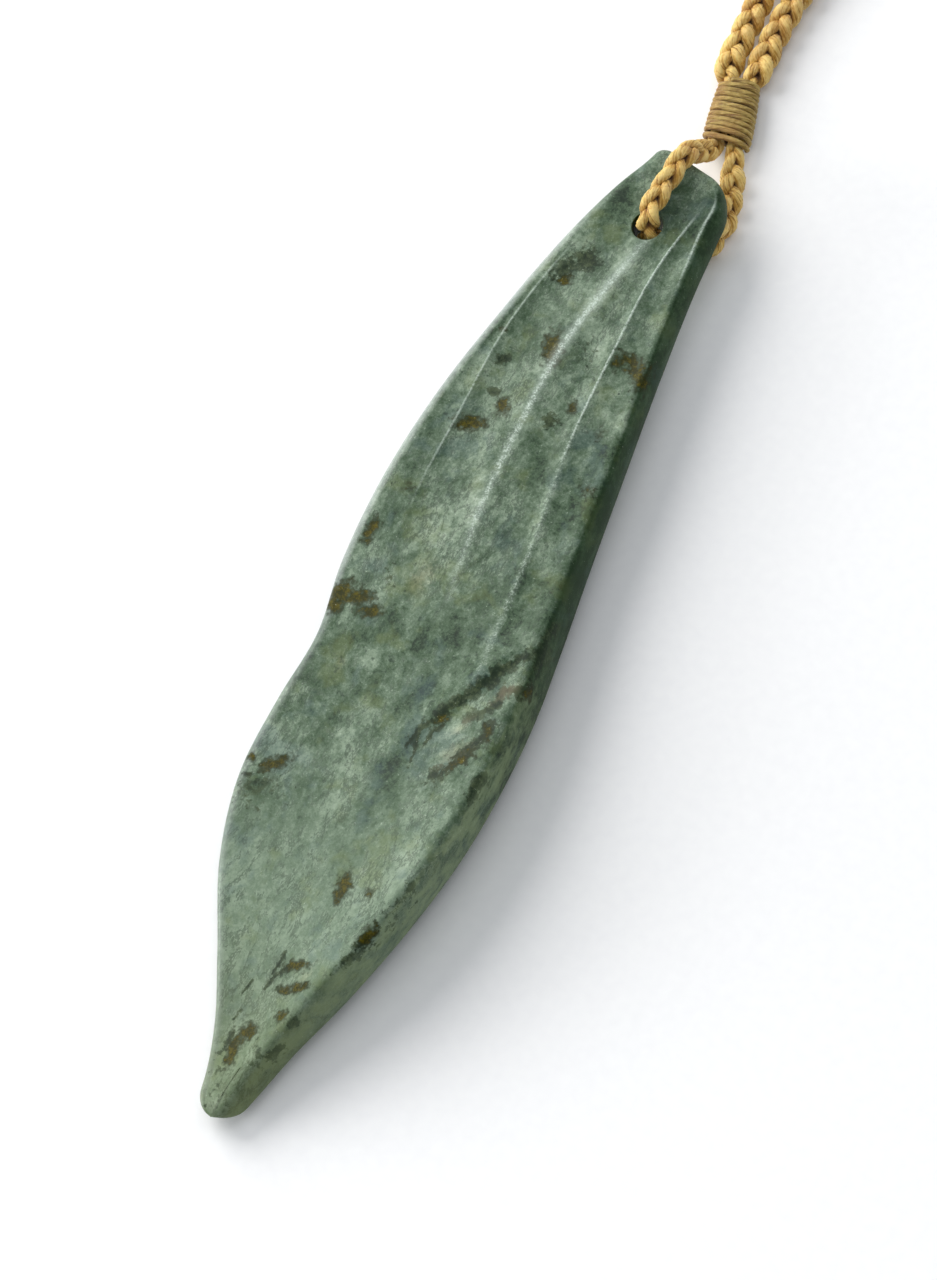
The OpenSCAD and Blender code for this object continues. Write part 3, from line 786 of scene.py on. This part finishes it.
DARK = np.array([
    [12.2, -5.1, 6.2, 1, 0.85, -25, 1.35], [13.6, -6.6, 6.2, 1.4, 0.8, 60, 1.05],
    [28.6, -0.7, 6.3, 0.7, 0.55, 23, 1.35], [27.6, -7.2, 6.1, 0.55, 0.38, 10, 1.35],
    [24.3, -8, 6.2, 0.55, 0.45, 30, 1.25], [20.9, -0.2, 6.3, 1.4, 0.9, -40, 0.55],
    [70.8, -11.2, 2.8, 2.4, 1.4, 20, 0.62], [47.6, -8.5, 5, 2.2, 0.5, -60, 0.45],
    [75.4, 9, 7.5, 1.3, 0.6, -97, 0.8], [82.6, 6.6, 7.3, 1.5, 0.6, -115, 0.85],
    [89.8, 4, 5.4, 0.7, 0.45, -109, 0.9], [64.6, 5.4, 6.8, 1.1, 0.6, -130, 0.75],
    [96.4, -0.9, 2.8, 1.6, 0.8, -70, 0.4], [98.3, 0.2, 2.8, 1, 0.8, 20, 0.35],
    [93.2, 1.9, 4.2, 1.5, 0.6, -60, 0.55], [78.2, 8.4, 6.6, 2.2, 1, -112, 0.5],
    [54.7, 6.5, 7.3, 0.9, 0.6, -117, 1.2], [56.5, 8, 7.7, 0.8, 0.5, -138, 1.2],
    [58.1, 6.2, 7.1, 0.6, 0.42, -131, 1.1], [58.6, 8.5, 7.8, 0.8, 0.55, -118, 1],
    [61.3, 7.3, 7.4, 0.75, 0.55, -123, 1], [64.1, 5.5, 6.7, 0.85, 0.5, -134, 1.1],
    [54.5, 9.5, 8.1, 0.7, 0.55, -91, 1.1], [50.5, 9.5, 7, 1.1, 0.6, -86, 1.3],
    [64, 10.1, 8.4, 1, 0.5, -97, 1.3], [57.1, 4.4, 6.9, 0.7, 0.5, -116, 1.2],
])
SOFT = np.array([
    [47, -5, 5.6, 5.6, 3.6, -100, 1], [57, -9, 4, 4.5, 2.6, -60, 0.8], [75, 3, 5.8, 8, 3.5, -110, 0.6],
    [62, 6.2, 7, 4.5, 2.6, -125, 1], [86, 3, 5, 6, 3, -105, 0.8], [34, -6, 6, 6, 3, -70, 0.5],
    [55.2, 8.2, 7.8, 3.2, 1.5, -125, 1], [59.6, 5.6, 7, 3.4, 1.5, -128, 0.9],
])
# Clouds: the same columns, with a strength below 0 for a deep patch and above 0 for a pale one
CLOUDS = np.array([
    [4.1, 1.9, 6.5, 2.8, 1.4, -94, -1.2], [5.7, -4.7, 6.5, 2.4, 1.5, -93, -1.7],
    [12, -5, 6.1, 1.8, 1.2, -27, -0.8], [39.1, -11.4, 5.6, 1.5, 0.9, -92, -0.7],
    [39.1, 0.7, 6.2, 2.3, 1.4, -91, -0.9], [43.5, 0.2, 6.3, 2, 1.8, -91, -0.7],
    [45.3, 7.8, 7.3, 2, 1.5, -92, -0.7], [51.6, -6.4, 5, 1.7, 1, -108, -0.7],
    [51.4, 0.8, 6.3, 3.4, 1.5, -130, -0.9], [59.1, -9.8, 3.6, 2.8, 1.1, -128, -0.8],
    [69.6, -0.1, 5, 2.4, 1.1, -130, -2.2], [71, -10.7, 2.9, 1.8, 1.3, 0, -2.6],
    [65.6, 0.7, 5.3, 1.4, 1.2, -104, -1.8], [64.8, -7.8, 3.5, 1.3, 0.8, -148, -1.6],
    [74.4, -9.4, 2.8, 1.4, 0.9, -142, -1.2], [10.8, -1.5, 6.7, 3, 1.2, -99, 1.1],
    [15.7, -2.3, 6.7, 2.6, 1.1, -98, 1.3], [25.4, -9.8, 6.2, 2.6, 1.3, -98, 0.8],
    [24.4, 1.8, 6.8, 2.7, 1.4, -92, 0.9], [29.4, -9.6, 6.1, 2.3, 1.4, -99, 0.8],
    [39.6, -3.3, 6.2, 2.1, 1.1, -94, 0.8], [41.5, -7, 5.7, 2, 1.5, -95, 0.7],
    [56.1, -5.7, 4.6, 3, 1.4, -130, 0.8], [53.2, 5.6, 7.5, 3.9, 1.1, -132, 0.9],
    [61.3, 5.6, 6.8, 2.8, 1.7, -107, 0.9], [81.7, 0.1, 4.4, 2, 1.5, -94, 0.6],
    [74.1, 6.6, 7.2, 4.2, 1.3, -106, 0.7],
])
# Streaks: distance from the hole end, place across, height and half width, point by point
STREAKS = [
    [[50.3, 9.6, 6.6, 0.4], [51.8, 7.9, 7.6, 0.5], [53, 7, 7.5, 0.58], [54.3, 6.2, 7.4, 0.62],
     [56, 5.2, 7.1, 0.58], [57.1, 4.3, 6.9, 0.52], [58.5, 3.4, 6.6, 0.46], [59.6, 2.6, 6.3, 0.4],
     [60.8, 1.8, 5.9, 0.34], [62.5, 1.3, 5.6, 0.22]],
    [[59.5, 3.9, 6.5, 0.3], [60.6, 3.3, 6.2, 0.28], [61.8, 3, 6, 0.2]],
    [[61.2, 2, 5.9, 0.26], [62.5, 2.3, 5.8, 0.22], [64.4, 2.6, 5.8, 0.12]],
    [[53.7, 9.9, 7, 0.44], [54.7, 9.2, 8, 0.34], [54.9, 8, 7.6, 0.4], [56.5, 7.9, 7.7, 0.46],
     [57.6, 7, 7.4, 0.38], [58.3, 6.1, 7.1, 0.44]],
    [[58.5, 8.7, 7.9, 0.34], [59.6, 8.7, 7.9, 0.48], [61, 7.6, 7.5, 0.54], [62.2, 7.6, 7.5, 0.52],
     [63, 6.7, 7.1, 0.46]],
    [[63.7, 6.3, 7, 0.5], [64.5, 5.9, 6.9, 0.55], [64.6, 5.2, 6.6, 0.4]],
    [[49.7, 9.6, 6, 0.55], [50.9, 9.5, 7.4, 0.55], [51.8, 9.7, 7.1, 0.42]],
    [[47.1, 9.2, 6.2, 0.3], [48.6, 9.2, 7.4, 0.34], [49.4, 9.3, 7.6, 0.36]],
    [[63.2, 10.2, 8, 0.46], [64.4, 10.2, 8.2, 0.4], [65.7, 10.2, 8, 0.34]],
    [[84.1, -0.3, 4, 0.18], [85.3, -0.4, 3.8, 0.24], [86.3, -0.7, 3.6, 0.2]],
    [[85.2, 0.8, 4.3, 0.34], [86.4, -0.3, 3.7, 0.26], [87.7, -0.7, 3.4, 0.18]],
    [[87.4, 0.6, 4, 0.26], [87.4, 2, 4.8, 0.34], [86.5, 3.4, 5.6, 0.3]],
    [[87.3, -2.3, 2.9, 0.12], [88.8, -2.7, 2.6, 0.12]], [[90.2, -2.1, 2.7, 0.17], [91.1, -2.3, 2.6, 0.15]],
    [[80.6, 7.3, 7.7, 0.48], [82.3, 6.8, 7.3, 0.45], [83.4, 6.2, 7, 0.42]],
    [[92, 3.6, 4.1, 0.34], [93.3, 3, 4.1, 0.3]], [[92.4, -1.6, 2.6, 0.3], [94.6, -1.9, 2.4, 0.3]],
]


def on_leaf(along, across, height):
    """A place on the leaf by its distance from the hole end, as a point of the frame in mm."""
    return np.array([across, leaf_long / 2 - along - leaf_middle, height])


def far_from(points, spot, depth=1.6):
    """How far each point lies from a spot, 1 at its edge: offsets along and across it over its
    half sizes, and height over its depth."""
    s, x, z, half_long, half_wide, way, _ = spot
    off = points - on_leaf(s, x, z)
    c, d = math.cos(math.radians(way)), math.sin(math.radians(way))
    along, across = off[:, 0] * c + off[:, 1] * d, off[:, 1] * c - off[:, 0] * d
    deep = off[:, 2] / (depth * max(half_wide, 0.5))
    return np.sqrt((along / half_long) ** 2 + (across / half_wide) ** 2 + deep ** 2)


def spot_field(points, table, depth=1.6, reach=1.0):
    """For each point, the highest of strength x (1 - distance / reach) over the spots."""
    every = [spot[-1] * (1 - far_from(points, spot, depth) / reach) for spot in table]
    return np.max(every, axis=0).clip(-1)


def cloud_field(points, table):
    """For each point, the sum of strength x the bell curve of the distance over the clouds."""
    return sum(spot[-1] * np.exp(-far_from(points, spot, 2.5) ** 2) for spot in table)


def streak_field(points, streaks, height_counts=0.45, reach=1.0):
    """For each point, the highest of 1 - distance / (reach x half width) over all the straight
    pieces of the streaks, where height counts less."""
    squash = np.array([1, 1, height_counts])
    best = np.full(len(points), -1.0)
    for streak in streaks:
        for (s0, x0, z0, w0), (s1, x1, z1, w1) in zip(streak, streak[1:]):
            start, end = on_leaf(s0, x0, z0) * squash, on_leaf(s1, x1, z1) * squash
            run, off = end - start, points * squash - start
            t = np.clip(off @ run / (run @ run), 0, 1)
            far = np.linalg.norm(off - t[:, None] * run, axis=1)
            best = np.maximum(best, 1 - far / (reach * (w0 + (w1 - w0) * t)))
    return best


def along_leaf(points):
    """Distance from the hole end, found in a few steps, because that end is slanted."""
    s = level = np.clip(leaf_long / 2 - (points[:, 1] + leaf_middle), 0, leaf_long)
    for _ in range(4):
        s = np.clip(level + end_slant(s, points[:, 0]), 0, leaf_long)
    return s


def line_places(s):
    """Where the three veins and the right edge lie across the leaf, at the distances s."""
    z, shares = sizes_at(s), vein_shares(s)
    start = (z["left"] + z["rim"])[:, 0]
    return [*(start + (z["edge"][:, 0] - start) * share[:, 0] for share in shares[1:4]),
            z["edge"][:, 0] - 0.45 * z["shoulder"][:, 0]]


leaf_mesh = leaf.data
leaf_now, normals = read_points(leaf_mesh, "co", 1 / mm), read_points(leaf_mesh, "normal")
s_now = along_leaf(leaf_now)
vein_off = [leaf_now[:, 0] - place + 9.0 * (normals[:, 2] < 0.3) for place in line_places(s_now)]
from_rim = leaf_now[:, 0] - sizes_at(s_now)["left"][:, 0]
# How strongly the painted highlight along the left rim shows, by the distance from the hole end
rim_shows = ease(4, 14, s_now) * (1 - ease(44, 56, s_now) * 0.55 - ease(74, 92, s_now) * 0.15)
fields = {
    "rust": spot_field(leaf_now, RUST, reach=2.2),
    "dark": np.maximum(spot_field(leaf_now, DARK, reach=2.2), streak_field(leaf_now, STREAKS, reach=2.4)),
    "soft": np.clip(spot_field(leaf_now, SOFT, 3.0), 0, 1),
    "cloud": cloud_field(leaf_now, CLOUDS),
    **dict(zip(("vein_1", "vein_2", "vein_3", "edge_line"), vein_off)),
    "from_hole": s_now,
    "side": ease(0.38, 0.8, normals[:, 0]),
    "rim_sheen": (1 - ease(0.3, 1.3, from_rim)) * rim_shows,
}
for name, values in fields.items():
    keep_field(leaf_mesh, name, values)
print("inclusions:", len(RUST), "rust,", len(DARK), "dark,", len(SOFT), "soft,", len(STREAKS), "streaks")

# %% [markdown]
# The stone is a felt of fine fibres, cloudy at every scale: soft patches some millimetres wide, darker
# wisps, a grain below a millimetre and pin-prick glints, which are painted highlights. It is a little
# see-through, and its polish is satin, like wax. A picture wrapped round it would smear on the wall, so it
# is all noise in the piece's own space, stretched the way the bands run, from the upper right to the lower
# left of the face. The upper wall is a deeper, purer green, partly the stone's own and partly painted shade,
# small dark flecks are strewn over the face, and a gloss coat and a painted highlight catch the light along
# the thin left rim. The pale veins are partly painted highlights, and painted light makes the face paler
# towards the tip and a little darker from 30 to 42 mm.

# %% Greenstone
def banded(f, here, way, stretch):
    """The piece's own places, turned about the upright axis and squeezed along one way."""
    return f.node("ShaderNodeMapping", {}, {
        "Vector": here, "Rotation": (0, 0, math.radians(way)), "Scale": (1.0, 1.0 / stretch, 1.0),
    })


def drawn_line(f, name, half, rise, fall):
    """1 on a line whose signed distance is a field, 0 past its half width. It rises and falls
    along the leaf, each between two distances from the hole end."""
    off, along = f.field(name), f.field("from_hole")
    far = off.most(off * -1)
    return (half - far).step(0, half) * along.step(*rise) * (1 - along.step(*fall))


def greenstone(f):
    """Colour by the sum of four sizes of cloud, from deep to pale, with wisps, patches and
    inclusions laid over it."""
    here = f.here()
    big = f.noise(banded(f, here, -38, 1.8), 140, 4, 0.55, 0.4)
    mid = f.noise(banded(f, here, -34, 1.4), 470, 5, 0.68, 0.3)
    felt = f.noise(here, 1700, 4, 0.74, 0.1)
    grain = f.noise(here, 5200, 3, 0.7)
    ragged = f.noise(here, 1050, 5, 0.76, 0.1)
    chips = f.noise(here, 1900, 1.5, 0.45)
    moss = f.noise(here, 260, 3, 0.6, 0.2)
    lines = f.noise(banded(f, here, -30, 2.2), 420, 5, 0.78, 0.2)
    rust, dark, soft, rim_sheen = (f.field(name) for name in ("rust", "dark", "soft", "rim_sheen"))
    along, side = f.field("from_hole"), f.field("side")
    # The upper wall's deeper green: partly the stone's own, partly painted shade
    wall_green_and_shade = side * (1 - along.step(50, 66))

    # The felt: one tone from the clouds, less lively towards the tip, with painted light along the leaf,
    # paler towards the tip and a little darker from 30 to 42 mm, and painted shade on the upper wall
    tone = big * 0.26 + mid * 0.34 + felt * 0.23 + grain * 0.12 + f.field("cloud") * 0.038
    tone = (tone - 0.47) * (1.1 - along.step(60, 78) * 0.56) + 0.47
    tone = tone + along.step(60, 80) * 0.036 - along.step(30, 42) * 0.018 - wall_green_and_shade * 0.06 + 0.033
    gap = (lines - 0.5).most(0.5 - lines)
    wisp = (0.045 - gap).step(0, 0.045) * (big + felt).step(0.9, 1.08)
    fleck = (ragged * 0.5 + chips * 0.5 + (0.5 - big) * 0.35).step(0.6, 0.68)
    hue = f.layered(
        (32, 46, 34),
        ((66, 86, 64), tone.step(0.37, 0.46)),
        ((96, 114, 94), tone.step(0.44, 0.52)),
        ((126, 143, 122), tone.step(0.5, 0.58)),
        ((164, 178, 158), (tone + soft * 0.03).step(0.56, 0.66) * 0.85),
        ((98, 110, 64), (moss + soft * 0.1).step(0.55, 0.7) * 0.36),
        ((72, 92, 96), (1 - moss).step(0.53, 0.68) * 0.3),
        ((152, 150, 114), (soft * (0.5 + felt)).step(0.5, 1.1) * 0.38),
        ((30, 42, 34), wisp * 0.5),
        ((32, 46, 36), fleck * (0.6 - along.step(64, 80) * 0.3)),
        # painted shade, with the stone's own deeper green: the upper wall darkened
        ((32, 60, 24), wall_green_and_shade * (0.34 + mid * 0.42)),
        ((126, 143, 104), side * along.step(46, 62) * (0.04 + mid.step(0.38, 0.62) * 0.6)),
        ((94, 102, 58), along.step(80, 98) * (0.32 + side * 0.2)),
        # painted highlight: a pale grey-white line along the thin left rim, where its polish catches the
        # light
        ((190, 197, 194), rim_sheen * (0.18 + felt * 0.5)),
    )

    # The inclusions: sooty streaks, and rust in a dark ring
    dark_mask = (dark + (ragged - 0.5) * 2.3 + (chips - 0.5) * 1.2).step(0.36, 0.66)
    sooty = f.layered(
        (22, 36, 20),
        ((62, 74, 48), (felt * 0.6 + mid * 0.6).step(0.5, 0.72)),
        ((96, 88, 70), soft.step(0.25, 0.8) * mid.step(0.42, 0.6) * 0.65),
    )
    island = rust + (ragged - 0.5) * 1.1 + (chips - 0.5) * 0.9
    rust_mask = island.step(0.46, 0.72)
    rusty = f.mix((40, 42, 0), (80, 73, 0), (felt + grain * 0.5).step(0.66, 0.92))

    # The veins: pale lines, partly chalky wear and partly painted highlights where the ridges catch the
    # light, the middle one broad with a bright core and a painted sheen near the hole; the right edge's line
    # near the hole end is a painted highlight
    chalk_and_sparkle = grain * 0.9 + felt * 0.5
    fine = drawn_line(f, "vein_1", 0.18, (10, 16), (32, 43)) * 0.5
    crisp = drawn_line(f, "vein_3", 0.2, (3, 7), (22, 36)) * 0.85
    ridge = drawn_line(f, "edge_line", 0.22, (1, 3), (7, 14)) * 0.75
    broad = drawn_line(f, "vein_2", 1.05, (6, 12), (40, 52))
    core = drawn_line(f, "vein_2", 0.48, (7, 13), (32, 52))
    faint = drawn_line(f, "vein_3", 0.55, (20, 34), (50, 58))
    vein = (
        fine.most(crisp).most(ridge) * chalk_and_sparkle.step(0.45, 0.85)
        + core * (0.1 + chalk_and_sparkle.step(0.62, 0.84) * 0.56)
        + broad * (0.27 - along.step(18, 32) * 0.17 + chalk_and_sparkle.step(0.74, 0.9) * 0.36)
        + faint * (0.07 + chalk_and_sparkle.step(0.68, 0.88) * 0.38)
    )
    # Pin-prick glints: painted highlights, white dots where the satin surface would sparkle
    glint = (grain * 0.8 + felt * 0.2).step(0.655, 0.695)
    hue = f.layered(
        hue,
        (sooty, dark_mask * (0.74 + dark.step(0.5, 0.9) * 0.2) * (1 - side * 0.25)),
        ((36, 44, 20), island.step(0.18, 0.52) * 0.78),
        (rusty, rust_mask * 0.94),
        ((196, 210, 198), vein.least(1)),
        ((206, 216, 200), glint * (0.5 - along.step(66, 84) * 0.2)),
    )
    polish = f.node("ShaderNodeBump", {}, {
        "Strength": 0.6, "Distance": 0.00008, "Height": felt * 0.5 + grain * 0.5 - rust_mask * 0.3,
    }, out="Normal")
    f.set(
        Base_Color=hue, Roughness=0.34 + felt * 0.16 + side * 0.1, Normal=polish, IOR=1.61,
        Specular_IOR_Level=0.08, Coat_Weight=rim_sheen * 0.5 * (1 - rust_mask), Coat_Roughness=0.22,
        Subsurface_Weight=0.05, Subsurface_Radius=(0.4 * mm, 0.6 * mm, 0.4 * mm), Subsurface_Scale=1.0,
    )
    print("greenstone has", len(f.tree.nodes), "nodes")


greenstone(leaf_finish)

# %% [markdown]
# The picture was taken on a white table in soft, bright light that comes from the upper left, so
# the leaf's wall and the ground to its lower right lie in gentle shade. A wide plain floor, three
# soft panels, a large one on that side, a small low one for the left rim and a weak one above, and
# a pale surround give the same. The floor is marked as stage: it is no part of the object.

# %% Floor and light
floor_finish = Finish("plain_floor")
grain = floor_finish.noise(floor_finish.here(), 900, 2, 0.5)
floor_finish.set(
    Base_Color=floor_finish.mix((240, 240, 241), (246, 246, 246), grain), Roughness=0.62,
    Specular_IOR_Level=0.25,
)
far = 6.0
corners = [(-far, -far, 0), (far, -far, 0), (far, far, 0), (-far, far, 0)]
floor_mesh = bpy.data.meshes.new("floor")
floor_mesh.from_pydata(corners, [], [(0, 1, 2, 3)])
floor_mesh.materials.append(floor_finish.material)
floor = placed("floor", floor_mesh)
floor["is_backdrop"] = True


def panel(name, toward, far, wide, power, tint=(1, 1, 1)):
    """A round soft light, `wide` metres across and `far` metres from the leaf's middle, facing it."""
    light = bpy.data.lights.new(name, "AREA")
    light.shape, light.size, light.energy, light.color = "DISK", wide, power, tint
    back = unit(toward)
    level = unit(np.cross([0.0, 0.3, 1.0], back))
    aimed(placed(name, light), [level, np.cross(back, level), back], aim + far * back)


panel("key_panel", (-1.5, 0.75, 1.15), 1.5, 1.2, 21, (1, 0.99, 0.97))
panel("rim_panel", (-1.2, -0.45, 0.22), 0.9, 0.5, 5.5)
panel("top_panel", (0.1, 0.6, 1.5), 1.6, 1.2, 4, (0.97, 0.99, 1))

world = bpy.data.worlds.new("surround")
world.use_nodes = True
sky = world.node_tree.nodes["Background"].inputs
sky["Color"].default_value, sky["Strength"].default_value = (0.93, 0.96, 1.0, 1.0), 0.5
scene = bpy.context.scene
scene.world = world
scene.view_settings.view_transform, scene.view_settings.look = "Standard", "None"

# %% [markdown]
# Last, the sizes are measured: how far the dressed model's box differs from the imported one's is printed,
# in mm.

# %% Sizes, and the end
new_low, new_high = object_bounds()
grown = np.subtract([new_low, new_high], [cad_low, cad_high]) / mm
print("visual less CAD box in mm:", grown.round(2).tolist())
